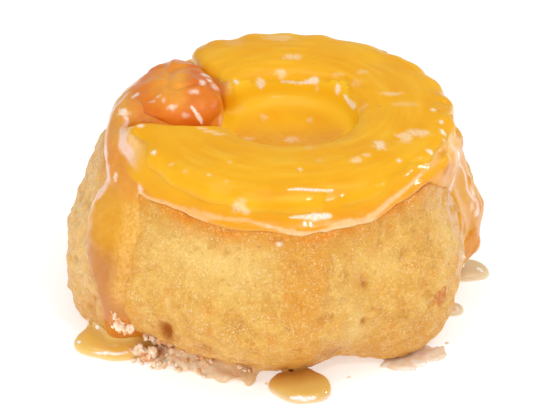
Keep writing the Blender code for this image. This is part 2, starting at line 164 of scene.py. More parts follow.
# The same kind of painted highlight lines on the pools of syrup.
POOL_GLINTS = (
    ((-39.7, -33, 1.4, 0.15), (-37, -33.6, 1.8, 0.3), (-33.9, -34, 1.9, 0.3),
     (-31.6, -33.5, 2, 0.15)),
    ((-39.5, -26, 3.9, 0.55), (-39, -26, 3.9, 0.45)),
    ((-43.8, -29, 1.9, 0.35), (-43.5, -29.4, 1.9, 0.35)),
    ((6.7, -50.6, 1.4, 0.2), (8.3, -50.9, 1.6, 0.4), (10.3, -51, 1.4, 0.4), (12.4, -50.7, 1.5, 0.15)),
    ((55.4, 2.5, 2.1, 0.5), (56.1, 1.7, 1.9, 0.4)),
    ((48.3, -13.8, 1.5, 0.35), (48.5, -15, 1.4, 0.3)),
)
# Marks of the sponge: angle, height, half width, half height and strength.
# Pale marks: paler patches of crumb, with painted light on the lit middle of the front lobe and a painted
# cluster of sparkles.
PALE_MARKS = (
    (262, 32, 9, 6, 1), (248, 33, 6, 5, 0.6), (297, 14, 3.5, 8, 0.9), (292, 24, 5, 6, 0.3),
    (306, 30, 6, 5, 0.5), (236, 30, 5, 8, 0.4), (262, 12, 4, 4, 0.5), (329, 30, 4, 5, 0.8),
    (322, 21, 3, 3, 0.5),
)
# Hollows of the sponge, dented and painted with shade.
DARK_MARKS = (
    (240.4, 11.4, 1.05, 3.1, 1.4), (254, 11.5, 2.6, 1.4, 0.5), (293, 8, 2, 2, 0.6),
    (288, 9, 2.5, 3.5, 0.4), (299, 17, 0.8, 1.2, 0.8), (300, 26, 0.6, 0.8, 0.7), (340, 12, 3.5, 3.5, 0.5),
    (230, 6, 3, 3, 0.6),
)
# Painted highlights and pale reflections in the glaze: place, half width along X, half size across it, and
# strength.
FLECKS = (
    # round the hole
    (-5.9, 13, 50, 0.8, 0.9, 1), (-0.2, 15.7, 48.3, 1.5, 1.6, 0.9), (5.2, 17.8, 49.8, 1.5, 1.4, 0.6),
    (13.9, 15.4, 46.6, 0.5, 1, 0.5), (18.9, 12.4, 48.5, 0.8, 1.5, 1), (24.5, 1.3, 49.3, 1.6, 2, 0.3),
    # on the slice's top
    (8, 23.7, 51.7, 2.3, 1.6, 0.55), (4.6, 34.4, 51.8, 4.5, 2.2, 0.4), (-6.9, 31.8, 51.7, 3, 2.5, 0.25),
    (23.3, 12.1, 50.5, 1.6, 2.2, 0.3), (25.2, 16.5, 51, 1.6, 1.2, 0.35), (19, 16, 50.7, 2, 1, 0.3),
    (32.2, 5.8, 50.4, 2.6, 1.2, 0.5), (34.9, 1, 50.3, 4, 1.2, 0.3), (27.5, -18.1, 49.7, 1.7, 2.2, 0.75),
    (33.6, -13.6, 49.6, 2.2, 1.8, 0.6), (37, -11.5, 49.4, 3, 1.8, 0.6), (33.5, -15.9, 49.4, 2.5, 0.7, 0.3),
    (21.7, -24.5, 49.4, 1.3, 1.3, 0.6), (24.1, -22.4, 49.5, 0.9, 0.9, 0.5),
    (11.1, -18.5, 49.4, 1.6, 1.2, 0.3), (31.8, -23.4, 48.7, 0.6, 0.7, 0.8),
    (13.2, -24.7, 49.5, 0.9, 0.9, 0.3), (-7.1, -25.1, 49.2, 0.7, 0.8, 0.4),
    (8.8, -28.4, 49.2, 0.5, 0.7, 0.8), (-13.6, -9.8, 49.7, 1.6, 0.6, 0.6),
    (-11.7, -11.2, 49.6, 1.6, 0.6, 0.6), (-9.8, -12.5, 49.5, 1.6, 0.6, 0.5),
    (-8.8, 11.5, 48.6, 1.8, 2, 0.3),
    # on its left shoulder, and the strip down its left side
    (-28.5, -7.5, 48.9, 1, 0.9, 1), (-24.7, -19, 48.1, 0.8, 0.9, 1), (-20.6, -24.4, 48, 0.8, 0.6, 0.5),
    (-17.3, -27.5, 47.9, 0.6, 0.6, 0.4), (-11.8, -29.7, 48.3, 0.5, 0.5, 0.6),
    (-7.8, -32, 48.2, 0.8, 0.4, 0.5), (-33, 2.6, 46.4, 1.3, 1.6, 0.9),
    # on its front
    (-5.1, -37.5, 45.2, 2.2, 1.7, 0.6), (-3.4, -38.2, 44.2, 1, 1, 0.6), (4, -42.3, 37.9, 0.9, 0.9, 0.9),
    # on its right shoulder and the sheet below that
    (41.1, -0.9, 49.7, 0.7, 0.9, 0.9), (42.7, -5.8, 49, 0.6, 0.9, 0.8), (42.9, -9.6, 48.5, 0.9, 1, 1),
    (43.1, -12.3, 47.8, 0.6, 0.6, 0.7), (39.1, -18.4, 48, 1.2, 0.9, 0.9),
    (36.8, -21.3, 48.1, 0.6, 0.5, 0.4), (46.7, -7.9, 41.3, 1, 1.1, 1), (45.5, -9.5, 43, 1.8, 2.6, 0.5),
    (51, -7, 26.5, 1, 1.6, 0.6), (51.5, -3.9, 27.8, 0.9, 1.4, 0.9), (52.2, -6, 24, 0.7, 1.2, 0.8),
    (45, -23, 30, 0.8, 1.6, 0.4),
    # on the cherry
    (-30.3, 5.9, 49.9, 1.2, 0.9, 0.8), (-24.7, 1.5, 51.9, 0.9, 0.5, 0.5), (-25.9, 0.7, 51, 1.2, 0.5, 0.6),
    (-23.2, -0.5, 51.9, 0.5, 0.9, 0.7), (-21.2, -2.8, 51.2, 1.2, 0.9, 0.8),
    (-28.7, -0.2, 49, 0.8, 0.5, 0.6), (-30.5, 2.2, 46.6, 0.8, 0.7, 0.5), (-18, -4.7, 50.1, 1.1, 0.8, 0.5),
    (-15.8, 1, 53.4, 1.4, 1, 0.7), (-14, 5.8, 53.7, 0.9, 1.6, 0.8), (-13.4, 10.2, 53.3, 1.4, 1.2, 0.8),
    (-12.4, 7.6, 53.3, 1, 1, 0.9), (-11.1, 6, 52.5, 1.2, 1.4, 0.6), (-9.6, -0.9, 46.6, 1.4, 1.6, 0.6),
    # in the hole
    (7.3, -1, 41.8, 2, 1.4, 0.45), (0.7, 9.2, 42.3, 1.1, 1.6, 0.35), (12, 7.9, 42.2, 0.8, 1.2, 0.4),
    (-3.8, -1, 41.9, 2.8, 1.2, 0.4), (-7, 0.5, 42.2, 1.6, 1.2, 0.4),
    # on the curtain of syrup
    (-33.9, -17.8, 41.2, 0.5, 1.5, 0.9),
)
# Deeper amber in the glaze at the right, in the same numbers.
AMBERS = (
    (42.8, -17.4, 44.5, 2.4, 2.6, 1), (44.4, -16, 41, 2, 2.4, 0.7), (48.5, 1, 41.5, 1.2, 2.6, 0.9),
    (50.6, -3, 31.2, 1, 1.1, 0.9), (52.6, -4.4, 25.2, 1.5, 3, 1), (50.2, -7.6, 28, 0.9, 2.4, 0.5),
    (47.4, -16.1, 27.8, 1.6, 1.8, 0.7), (50.8, -6.5, 15.5, 3.6, 4.2, 1), (53.1, -4.3, 13.5, 1.8, 2.6, 1),
    (42.2, -33.1, 17.2, 3, 2.8, 1.2), (49.5, -12, 22, 1.6, 3, 0.4), (3.6, -41.8, 38.6, 2.4, 0.9, 0.8),
    (-33, -34.5, 11, 2.2, 3, 0.8),
)


def ramp(low, high, value):
    """0 at low and 1 at high, with soft ends."""
    share = np.clip((value - low) / (high - low), 0, 1)
    return share * share * (3 - 2 * share)


def bell(value, spread):
    """1 at 0, falling softly over the spread."""
    return np.exp(-((value / spread) ** 2))


def turn_from(angle, other):
    """Signed turn in degrees from other to angle."""
    return (angle - other + 180) % 360 - 180


def polar(x, y, centre=(0, 0)):
    """Angle in degrees and distance of each place about an upright line."""
    across, along = x - centre[0], y - centre[1]
    return np.degrees(np.arctan2(along, across)) % 360, np.hypot(across, along)


def over_seat(y, z):
    """How high each place is over the tilted seat that the slice lies on."""
    return z - SEAT_HEIGHT - y * SEAT_TILT


# Fields: signed distances and noise on the grid.


def level_set(points, triangles, quads=None, band=BAND):
    """Signed distance to a closed mesh, on the grid."""
    grid = vdb.FloatGrid.createLevelSetFromPolygons(
        points.astype(np.float32),
        triangles=triangles,
        quads=quads,
        transform=vdb.createLinearTransform(VOXEL),
        halfWidth=band,
    )
    out = np.empty(SHAPE, np.float32)
    grid.copyToArray(out, ijk=tuple(int(round(v / VOXEL)) for v in LOW))
    return out


def distance(obj):
    """Signed distance to a CAD node."""
    mesh = obj.data
    mesh.calc_loop_triangles()
    points = np.empty(len(mesh.vertices) * 3, np.float32)
    mesh.vertices.foreach_get("co", points)
    corners = np.empty(len(mesh.loop_triangles) * 3, np.int32)
    mesh.loop_triangles.foreach_get("vertices", corners)
    return level_set(points.reshape(-1, 3) / MM, corners.reshape(-1, 3).astype(np.uint32))


def polygons(field):
    """Points, triangles and quads of the field's zero surface."""
    limit = 3 * VOXEL
    grid = vdb.FloatGrid(limit)
    grid.copyFromArray(np.clip(field, -limit, limit).astype(np.float32))
    points, triangles, quads = grid.convertToPolygons(0.0, 0.0)
    return points * VOXEL + LOW, triangles, quads


def offset(field, by):
    """The field measured again from its surface moved by this much.

    Outwards it fills the creases, and inwards it rounds the edges."""
    points, triangles, quads = polygons(field - by)
    return level_set(points, triangles.astype(np.uint32), quads.astype(np.uint32), WIDE_BAND) + by


def blurred(field, passes):
    for _ in range(passes):
        for axis in range(3):
            field = 0.5 * field + 0.25 * (np.roll(field, 1, axis) + np.roll(field, -1, axis))
    return field.astype(np.float32)


def smooth_min(a, b, reach):
    mix = np.clip(0.5 + 0.5 * (b - a) / reach, 0, 1)
    return b * (1 - mix) + a * mix - reach * mix * (1 - mix)


def cubic_weights(axis, size):
    """Weights that carry a random lattice of this cell size to the grid's points on one axis."""
    place = (axis - axis[0]) / size + 1
    cell = np.floor(place).astype(int)
    f = place - cell
    out = np.zeros((len(axis), cell[-1] + 3), np.float32)
    rows = np.arange(len(axis))
    out[rows, cell - 1] += (1 - f) ** 3 / 6
    out[rows, cell] += (3 * f**3 - 6 * f**2 + 4) / 6
    out[rows, cell + 1] += (-3 * f**3 + 3 * f**2 + 3 * f + 1) / 6
    out[rows, cell + 2] += f**3 / 6
    return out


def noise(size, seed):
    """Smooth noise on the grid with cells of this size, about -1 to 1."""
    weights = [cubic_weights(axis, size) for axis in AXES]
    lattice = np.random.default_rng(seed).uniform(-1, 1, [w.shape[1] for w in weights])
    field = np.tensordot(weights[0], lattice.astype(np.float32), (1, 0))
    field = np.tensordot(weights[1], field, (1, 1))
    field = np.tensordot(weights[2], field, (1, 2))
    return np.ascontiguousarray(field.transpose(2, 1, 0)) * 2.2


def corners_of(cell, f):
    """The eight lattice places round each point, each with its share."""
    for corner in np.ndindex(2, 2, 2):
        yield cell + corner, np.prod([f[:, a] if corner[a] else 1 - f[:, a] for a in range(3)], axis=0)


def noise_at(places, seed):
    """Smooth noise at any places, with cells of size 1, about -1 to 1."""
    lattice = np.random.default_rng(seed).uniform(-1, 1, (32, 32, 32))
    cell = np.floor(places).astype(int)
    f = places - cell
    f = f * f * (3 - 2 * f)
    return sum(share * lattice[tuple((corner % 32).T)] for corner, share in corners_of(cell, f))


def sample(field, points):
    """The field's value at points."""
    place = (points - LOW) / VOXEL
    cell = np.clip(np.floor(place).astype(int), 0, np.array(SHAPE) - 2)
    return sum(share * field[tuple(corner.T)] for corner, share in corners_of(cell, place - cell))


# Meshes.


def placed(name, data):
    obj = bpy.data.objects.new(name, data)
    bpy.context.scene.collection.objects.link(obj)
    return obj


def linked(name, mesh):
    mesh.shade_smooth()
    return placed(name, mesh)


def surface(field, name):
    """A mesh object of the field's zero surface, and its points."""
    points, triangles, quads = polygons(field)
    faces = triangles.tolist() + quads.tolist()
    mesh = bpy.data.meshes.new(name)
    mesh.from_pydata((points * MM).tolist(), [], faces)
    mesh.update()
    a, b, c = (points[np.array([f[i] for f in faces])] for i in range(3))
    if np.einsum("ij,ij->i", a, np.cross(b, c)).sum() < 0:
        mesh.flip_normals()
    return linked(name, mesh), points


def normals_of(obj):
    normals = np.empty(len(obj.data.vertices) * 3)
    obj.data.vertex_normals.foreach_get("vector", normals)
    return normals.reshape(-1, 3)


def push(obj, points, amount):
    """Moves each point along its normal."""
    moved = points + normals_of(obj) * amount[:, None]
    obj.data.vertices.foreach_set("co", (moved * MM).ravel())
    obj.data.update()


def paint(obj, **layers):
    """Stores numbers per point for the material, by name."""
    for name, values in layers.items():
        layer = obj.data.attributes.new(name, "FLOAT", "POINT")
        layer.data.foreach_set("value", np.asarray(values, np.float32))


def paint_colour(obj, name, colours):
    layer = obj.data.attributes.new(name, "FLOAT_COLOR", "POINT")
    rgba = np.ones((len(colours), 4), np.float32)
    rgba[:, :3] = colours
    layer.data.foreach_set("color", rgba.ravel())


# Materials.


def linear(code):
    """A colour from its sRGB hex code, as linear numbers."""
    parts = [int(code[i : i + 2], 16) / 255 for i in (0, 2, 4)]
    return np.array([p / 12.92 if p <= 0.04045 else ((p + 0.055) / 1.055) ** 2.4 for p in parts])


class Look:
    """A material and short calls to wire its nodes."""

    def __init__(self, name, **sockets):
        self.material = bpy.data.materials.new(name)
        self.material.use_nodes = True
        self.tree = self.material.node_tree
        self.shader = self.tree.nodes["Principled BSDF"]
        self.place = self.node("ShaderNodeTexCoord").outputs["Object"]
        for socket, value in sockets.items():
            self.set(socket.replace("_", " "), value)

    def put(self, socket, value):
        if isinstance(value, bpy.types.NodeSocket):
            self.tree.links.new(value, socket)
        elif socket.type == "RGBA":
            socket.default_value = (*value[:3], 1.0)
        else:
            socket.default_value = value

    def set(self, socket, value):
        self.put(self.shader.inputs[socket], value)

    def node(self, kind, inputs=None, **settings):
        made = self.tree.nodes.new(kind)
        for key, value in settings.items():
            setattr(made, key, value)
        for key, value in (inputs or {}).items():
            self.put(made.inputs[key], value)
        return made

    def noise(self, size, detail=2.0, rough=0.5, vector=None):
        """Noise with features of about this size."""
        inputs = {"Scale": 1 / (size * MM), "Detail": detail, "Roughness": rough}
        inputs["Vector"] = vector or self.place
        return self.node("ShaderNodeTexNoise", inputs).outputs["Fac"]

    def glinted(self, base, code):
        """The base with its painted glints, broken up finely."""
        fine = self.map(self.noise(0.6, 2, 0.6), 0.3, 0.6, 0.55, 1.1)
        return self.painted(base, "fleck", fine, code)

    def stretched(self, x, y, z):
        return self.node("ShaderNodeMapping", {"Vector": self.place, "Scale": (x, y, z)}).outputs[0]

    def map(self, value, a, b, c=0.0, d=1.0):
        inputs = {"Value": value, "From Min": a, "From Max": b, "To Min": c, "To Max": d}
        return self.node("ShaderNodeMapRange", inputs, clamp=True).outputs[0]

    def math(self, operation, a, b=0.0):
        return self.node("ShaderNodeMath", {0: a, 1: b}, operation=operation).outputs[0]

    def mix(self, share, a, b):
        made = self.node("ShaderNodeMix", data_type="RGBA")
        self.put(made.inputs["Factor"], share)
        self.put(made.inputs[6], a)
        self.put(made.inputs[7], b)
        return made.outputs[2]

    def painted(self, base, name, share, code):
        """The base with a colour laid on as the painted numbers say."""
        return self.mix(self.math("MULTIPLY", self.value(name), share), base, linear(code))

    def patches(self, base, pattern, low, high, share, code):
        """The base with a colour that grows as the pattern goes from low to high."""
        return self.mix(self.map(pattern, low, high, 0.0, share), base, linear(code))

    def value(self, name):
        return self.node("ShaderNodeAttribute", attribute_name=name).outputs["Fac"]

    def colour(self, name):
        return self.node("ShaderNodeAttribute", attribute_name=name).outputs["Color"]

    def finish(self, base, coat, roughness):
        """Sets the colour, and the glossy coat over it."""
        self.set("Base Color", base)
        self.set("Coat Weight", coat)
        self.set("Coat Roughness", roughness)

    def bump(self, height, depth, strength=1.0):
        inputs = {"Height": height, "Distance": depth * MM, "Strength": strength}
        return self.node("ShaderNodeBump", inputs).outputs[0]


def soft_look(name, roughness, share, depth, spread, specular):
    """A material that lets light in by this depth in millimetres, with each colour's spread."""
    look = Look(name, Roughness=roughness, Subsurface_Weight=share, Subsurface_Scale=depth * MM)
    look.set("Subsurface Radius", spread)
    look.set("Specular IOR Level", specular)
    return look


def dress(obj, look, slot, *nodes):
    obj.data.materials.clear()
    obj.data.materials.append(look.material)
    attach(obj, "root")
    if nodes:
        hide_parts(*nodes)


# Camera, floor and light.


# The camera that fits the photo: the frame in pixels, then degrees and metres.
FRAME_WIDTH = 550
FOCAL_LENGTH = 1822.5
SHIFT = (14, -6.5)
LOOKS_DOWN = 31
DISTANCE = 0.45
AIM_HEIGHT = 0.024
SENSOR = 36


def make_camera():
    data = bpy.data.cameras.new("camera")
    data.sensor_width = SENSOR
    data.lens = FOCAL_LENGTH / FRAME_WIDTH * SENSOR
    data.shift_x = SHIFT[0] / FRAME_WIDTH
    data.shift_y = SHIFT[1] / FRAME_WIDTH
    camera = placed("camera", data)
    rise = math.radians(LOOKS_DOWN)
    back = Vector((0, -math.cos(rise), math.sin(rise)))
    camera.location = Vector((0, 0, AIM_HEIGHT)) + back * DISTANCE
    camera.rotation_euler = (-back).to_track_quat("-Z", "Y").to_euler()
    bpy.context.scene.camera = camera


def make_floor():
    size = 3.0
    mesh = bpy.data.meshes.new("floor")
    corners = [(-size, -size, 0), (size, -size, 0), (size, size, 0), (-size, size, 0)]
    mesh.from_pydata(corners, [], [(0, 1, 2, 3)])
    floor = linked("floor", mesh)
    floor.location.z = -0.05 * MM
    look = Look("pale_floor", Base_Color=(0.75, 0.75, 0.75), Roughness=0.6, Specular_IOR_Level=0.2)
    look.set("Emission Color", (1, 1, 1))
    look.set("Emission Strength", 0.45)
    mesh.materials.append(look.material)


def make_light(name, where, size_x, size_y, power, glossy=True):
    data = bpy.data.lights.new(name, "AREA")
    data.shape = "RECTANGLE"
    data.size = size_x
    data.size_y = size_y
    data.energy = power
    lamp = placed(name, data)
    lamp.location = where
    aim = Vector((0, 0, 0.02)) - Vector(where)
    lamp.rotation_euler = aim.to_track_quat("-Z", "Y").to_euler()
    lamp.visible_glossy = glossy


def make_studio():
    scene = bpy.context.scene
    scene.view_settings.view_transform = "Standard"
    world = bpy.data.worlds.new("studio")
    world.use_nodes = True
    background = world.node_tree.nodes["Background"]
    background.inputs["Color"].default_value = (1, 1, 1, 1)
    background.inputs["Strength"].default_value = 0.40
    scene.world = world
    make_light("overhead", (0.0, -0.12, 0.95), 0.9, 0.9, 3.3)
    make_light("left", (-0.55, -0.5, 0.45), 0.5, 0.5, 1.7, glossy=False)
    make_light("low_front", (-0.32, -0.66, 0.08), 0.6, 0.15, 0.75, glossy=False)
    make_light("right", (0.65, -0.35, 0.35), 0.4, 0.5, 0.95, glossy=False)
    make_light("front_sparkle", (0.24, -0.40, 0.72), 0.07, 0.05, 0.8)
    make_light("side_sparkle", (0.62, 0.12, 0.42), 0.10, 0.05, 0.7)


# The fields of the cake.

cake = blurred(distance(NODES["cake"]), 2)
slice_field = offset(blurred(distance(NODES["pineapple_slice"]), 1), -2.4)
cherry_field = blurred(offset(distance(NODES["cherry"]), -2.0), 1)

ANGLE, RADIUS = polar(X, Y)
SLICE_ANGLE, FROM_HOLE = polar(X, Y, HOLE)
ABOVE = over_seat(Y, Z)


def by_angle(stations, angle):
    angles, values = zip(*stations)
    return np.interp(angle, angles, values, period=360)


def across_run(way, angle, radius, height):
    """How far right of a run's middle each place is, and the run's half width there."""
    heights, angles, halves = zip(*way)
    centre, half = np.interp(height, heights, angles), np.interp(height, heights, halves)
    return turn_from(angle, centre) * np.pi / 180 * radius, half


def run_inside(way, angle, radius, height):
    """How far inside a run's edge each place is."""
    across, half = across_run(way, angle, radius, height)
    return half - np.abs(across)


def film_of(inside, thickness, edge=1.2):
    """Thickness of a film from how far inside its edge a place is: rounded, and below 0 outside."""
    film = thickness * np.sqrt(np.clip(inside / edge, 0, 1))
    return np.where(inside > 0, film, np.maximum(-NO_FILM * inside, NO_FILM)).astype(np.float32)


LIP_LOW = by_angle(LIP, SLICE_ANGLE)
WAVE = 0.7 * noise(5.0, 11) + 0.35 * noise(2.4, 12)


def make_film():
    """Thickness of the syrup over everything: negative where there is none."""
    film = np.full(SHAPE, NO_FILM, np.float32)
    for thickness, wavy, lumpy, way in RUNS:
        across, half = across_run(way, ANGLE, RADIUS, Z)
        inside = half - np.abs(across) + wavy * WAVE
        # A run thins out gently towards its right edge.
        edge = 1.6 + 5.0 * ramp(-1, 3, across)
        top = np.minimum(np.where(ANGLE > 180, RUN_TOPS[1], RUN_TOPS[0]) - Z, RADIUS - RUN_START)
        run = film_of(np.minimum(inside, top), thickness, edge)
        lumps = np.clip(1 + lumpy * WAVE, 0.15, 2)
        film = np.maximum(film, np.where(run > 0, run * lumps, run))
    for x, y, z, reach, height in DROPS:
        apart = np.sqrt((X - x) ** 2 + (Y - y) ** 2 + (Z - z) ** 2)
        dome = height * np.sqrt(np.clip(1 - (apart / reach) ** 2, 0, 1))
        film = np.where(film > 0, film + dome, np.maximum(film, film_of(reach - apart, height, reach)))
    # The lip round the slice climbs its side, higher at the left and the right.
    high = 4.2 + 2.6 * bell(turn_from(SLICE_ANGLE, 192), 24) + 2 * bell(turn_from(SLICE_ANGLE, 340), 22)
    high = high + 0.5 * WAVE
    width = 3.4 + 3.5 * bell(turn_from(SLICE_ANGLE, 190), 30) + 1.5 * bell(turn_from(SLICE_ANGLE, 0), 25)
    below = ABOVE - LIP_LOW + 0.35 * WAVE
    inside = np.minimum(width - slice_field, below)
    lip = film_of(inside, 0.32, 1.0) + 0.25 * bell(below - 0.9, 0.7) * ramp(0, 0.4, inside)
    lip = np.minimum(lip, (high - ABOVE) * 0.14)
    film = np.maximum(film, np.where(FROM_HOLE > RUN_START, lip, NO_FILM))
    # The bottom of the hole, and the trough round the cherry.
    hole = np.minimum(film_of(HOLE_RADIUS + 3 - FROM_HOLE, 0.35), (5.5 - ABOVE) * 0.07)
    film = np.maximum(film, hole)
    trough = np.minimum(film_of(3.4 - cherry_field, 0.4), (6.5 + WAVE - ABOVE) * 0.16)
    film = np.maximum(film, trough)
    return film.astype(np.float32)


def join_parts():
    """Cake, slice and cherry as one soft form under the glaze, as a field."""
    fruit = smooth_min(slice_field, cherry_field, 2.2)
    fill_reach = 4.4 + 2.4 * bell(turn_from(SLICE_ANGLE, 176), 24) * ramp(30, 36, FROM_HOLE)
    # Where much syrup ran down, it also filled the crease under the roll at the top.
    full = offset(cake, 5.0)
    crease = np.zeros(SHAPE, np.float32)
    for way in (CURTAIN, RIGHT_SHEET):
        inside = ramp(-0.5, 6, run_inside(way, ANGLE, RADIUS, Z))
        crease = np.maximum(crease, inside * ramp(22, 30, Z) * ramp(34, 37, RADIUS))
    filled = cake + (np.minimum(full, cake) - cake) * crease
    joined = smooth_min(filled, fruit, fill_reach).astype(np.float32)
    # The syrup in the hole lies as in a bowl, and climbs the cherry less than the slice.
    hole_pool = np.maximum(FROM_HOLE - HOLE_RADIUS - 1, ABOVE + 2.8 + 0.25 * WAVE)
    return smooth_min(joined, hole_pool, 4.8 + 5.2 * ramp(1, 9, cherry_field)).astype(np.float32)


film = make_film()
together = join_parts()


class Places:
    """A mesh's points, and where they lie about the cake's axis, the hole and the seat."""

    def __init__(self, obj, points):
        self.points = points
        self.normals = normals_of(obj)
        x, y, self.height = points.T
        self.angle, self.radius = polar(x, y)
        self.around, self.from_hole = polar(x, y, HOLE)
        self.above = over_seat(y, self.height)
        self.over_lip = self.above - by_angle(LIP, self.around)


# All painted spots are drawn at this share of their size.
SPOT_SIZE = 0.85


def along_surface(away, normals):
    """Ways from a place to points, with most of their part along the surface's normal left out."""
    off = (away * normals).sum(1)
    return away - 0.8 * off[:, None] * normals


def spots_at(spots, at):
    """How much of a spot is at each point: ragged spots, given in millimetres."""
    points, normals = at.points, at.normals
    total = np.zeros(len(points))
    ragged = 0.45 * noise_at(points / 0.8, 91) + 0.35 * noise_at(points / 1.7, 92)
    for x, y, z, wide, deep, strength in spots:
        near = np.nonzero(np.abs(points - (x, y, z)).max(1) < 9)[0]
        away = along_surface(points[near] - (x, y, z), normals[near]) / SPOT_SIZE
        apart = np.sqrt((away[:, 0] / wide) ** 2 + (away[:, 1] ** 2 + away[:, 2] ** 2) / deep**2)
        total[near] = np.maximum(total[near], strength**1.5 * ramp(1.4, 0.5, apart + ragged[near]))
    return total


def lines_at(ways, at):
    """How much of a painted line is at each point."""
    points, normals = at.points, at.normals
    total = np.zeros(len(points))
    ragged = 0.3 * noise_at(points / 0.9, 93)
    for way in ways:
        for first, second in zip(way[:-1], way[1:]):
            start, run = np.array(first[:3]), np.array(second[:3]) - first[:3]
            near = np.nonzero(np.abs(points - start - run / 2).max(1) < np.abs(run).max() / 2 + 5)[0]
            away = points[near] - start
            share = np.clip(away @ run / (run @ run), 0, 1)
            half = first[3] + share * (second[3] - first[3])
            away = along_surface(away - share[:, None] * run, normals[near])
            apart = np.sqrt((away**2).sum(1)) / half + ragged[near]
            total[near] = np.maximum(total[near], ramp(1.45, 0.6, apart))
    return total


# Painted highlights: how much of the glint spots and glint lines lies at each point.
def glints_at(at):
    return np.maximum(spots_at(FLECKS, at), lines_at(GLINT_LINES, at))


def marks_at(marks, angle, radius, height):
    total = 0.0
    for centre, middle, half_width, half_height, strength in marks:
        across = turn_from(angle, centre) * np.pi / 180 * radius
        total = total + strength * bell(across, half_width) * bell(height - middle, half_height)
    return total


def make_sponge():
    """The sponge with its crumb and pits, and what its material reads."""
    crumb = 0.22 * noise(4.6, 1) + 0.22 * noise(2.3, 2) + 0.26 * noise(1.2, 3)
    # The crumb is more ragged at the left edge and at the torn foot.
    ragged = 1.2 * ramp(-34, -42, X) + 1.8 * bell(turn_from(ANGLE, 247), 24) * ramp(6, 3, Z)
    crumb = crumb * (1 + ragged)
    pits = np.clip(noise(1.9, 4) - 0.55, 0, 1) * 1.2 + np.clip(noise(3.4, 5) - 0.9, 0, 1) * 2.0
    covered = ramp(-0.1, 0.3, film)
    dents = 0.8 * marks_at(DARK_MARKS, ANGLE, RADIUS, Z)
    field = cake + 0.10 + (crumb + pits) * (1 - 0.75 * covered) + 0.45 * covered + dents
    obj, points = surface(np.maximum(field, -Z), "sponge_crumb")
    at = Places(obj, points)
    angle, radius, height = at.angle, at.radius, at.height
    wave = sample(WAVE, points)
    wet = ramp(6.5, 0.5, 1.6 * wave - at.over_lip)
    for way in WET_RUNS:
        wet = np.maximum(wet, 0.85 * ramp(-1.5, 2.0, run_inside(way, angle, radius, height) + 1.2 * wave))
    paint(
        obj,
        wet=wet,
        # Soaked sponge, with painted shadow, in an orange band under the lip.
        rim=bell(at.over_lip + 0.6, 1.3),
        # How deep each point lies in the crumb's pits, for painted shade in them.
        depth=np.clip(sample(crumb + pits, points) + 0.4, 0, 2),
        pale=np.clip(marks_at(PALE_MARKS, angle, radius, height), 0, 1),
        dark=np.clip(marks_at(DARK_MARKS, angle, radius, height), 0, 1),
        # The pale soaked crumb of the torn foot, painted paler still as light against the shade under the
        # side.
        skirt=bell(turn_from(angle, 244), 26) * ramp(4.5, 2.0, height),
        low=ramp(20, 4, height),
        side=bell(turn_from(angle, 345), 14) * ramp(10, 16, height),
        fleck=glints_at(at),
        amber=spots_at(AMBERS, at),
        strand=lines_at((*STRANDS, HEM), at),
        # A paler fringe of crumb and painted light, towards the sponge's left edge.
        edge=ramp(-34, -41, points[:, 0]),
    )
    return obj


def sponge_look():
    look = soft_look("sponge", 0.6, 0.2, 1.0, (1.0, 0.55, 0.25), 0.25)
    grain = look.noise(0.55, 4, 0.7)
    pits = look.map(look.noise(1.9, 4, 0.65), 0.40, 0.31)
    patches = look.map(look.noise(3.4, 2), 0.44, 0.60)
    # Painted highlights: tiny sparkles of light on the crumb.
    sparkles = look.math("MULTIPLY", look.map(look.noise(0.42, 2, 0.6), 0.60, 0.68), patches)
    base = look.patches(linear("D29336"), look.noise(10, 3, 0.6), 0.35, 0.65, 1.0, "E7AF4D")
    base = look.patches(base, look.noise(3.0, 3, 0.6), 0.42, 0.65, 0.8, "F3C461")
    base = look.patches(base, look.noise(3.6, 4, 0.65), 0.52, 0.64, 0.8, "E59834")
    base = look.patches(base, look.noise(2.0, 3, 0.6), 0.58, 0.68, 0.5, "F4C07C")
    # Paler crumb, and painted light, from the pale marks.
    base = look.painted(base, "pale", 0.8, "FAD67E")
    base = look.painted(base, "wet", look.map(look.noise(2.2, 2), 0.25, 0.6, 0.45, 0.9), "E49C30")
    # Soaked sponge and painted shadow under the lip.
    base = look.painted(base, "rim", look.map(look.noise(6, 2), 0.35, 0.6), "EA8E18")
    base = look.painted(base, "side", look.map(look.noise(2.5, 2), 0.4, 0.6), "F2C8A0")
    # Painted sheen and highlight: the pale strands and the curtain's edge line.
    base = look.painted(base, "strand", 0.6, "F0CFC0")
    base = look.painted(base, "edge", 0.6, "F2CC90")
    base = look.painted(base, "amber", 0.85, "D0740F")
    base = look.painted(base, "low", 0.6, "D4943E")
    # Painted shade in the dips of the bumped crumb and painted light on its tops; then painted shade in
    # the pits and the deep crumb.
    base = look.mix(look.map(grain, 0.38, 0.68, 0.25, 0.0), base, linear("D08C30"))
    base = look.patches(base, grain, 0.52, 0.70, 0.5, "FBDE9C")
    base = look.mix(look.math("MULTIPLY", pits, 0.35), base, linear("DA922E"))
    base = look.patches(base, look.value("depth"), 0.5, 1.4, 0.5, "D0882A")
    # Painted shade in the cave and the hollows.
    base = look.painted(base, "dark", 0.9, "B4600A")
    # The torn foot's pale crumb, with painted light against its shade.
    base = look.painted(base, "skirt", look.map(look.noise(1.6, 3), 0.3, 0.6, 0.85, 1.0), "FFE8C8")
    base = look.painted(base, "skirt", look.map(look.noise(2.4, 3), 0.52, 0.62, 0.0, 0.5), "F9B878")
    base = look.mix(look.math("MULTIPLY", sparkles, 0.75), base, linear("FFEFC4"))
    base = look.glinted(base, "FDEFD8")
    look.finish(base, look.map(look.noise(0.9, 2), 0.5, 0.68, 0.0, 0.8), 0.15)
    height = look.math("SUBTRACT", grain, look.math("MULTIPLY", pits, 0.6))
    look.set("Normal", look.bump(height, 0.45, 0.75))
    return look


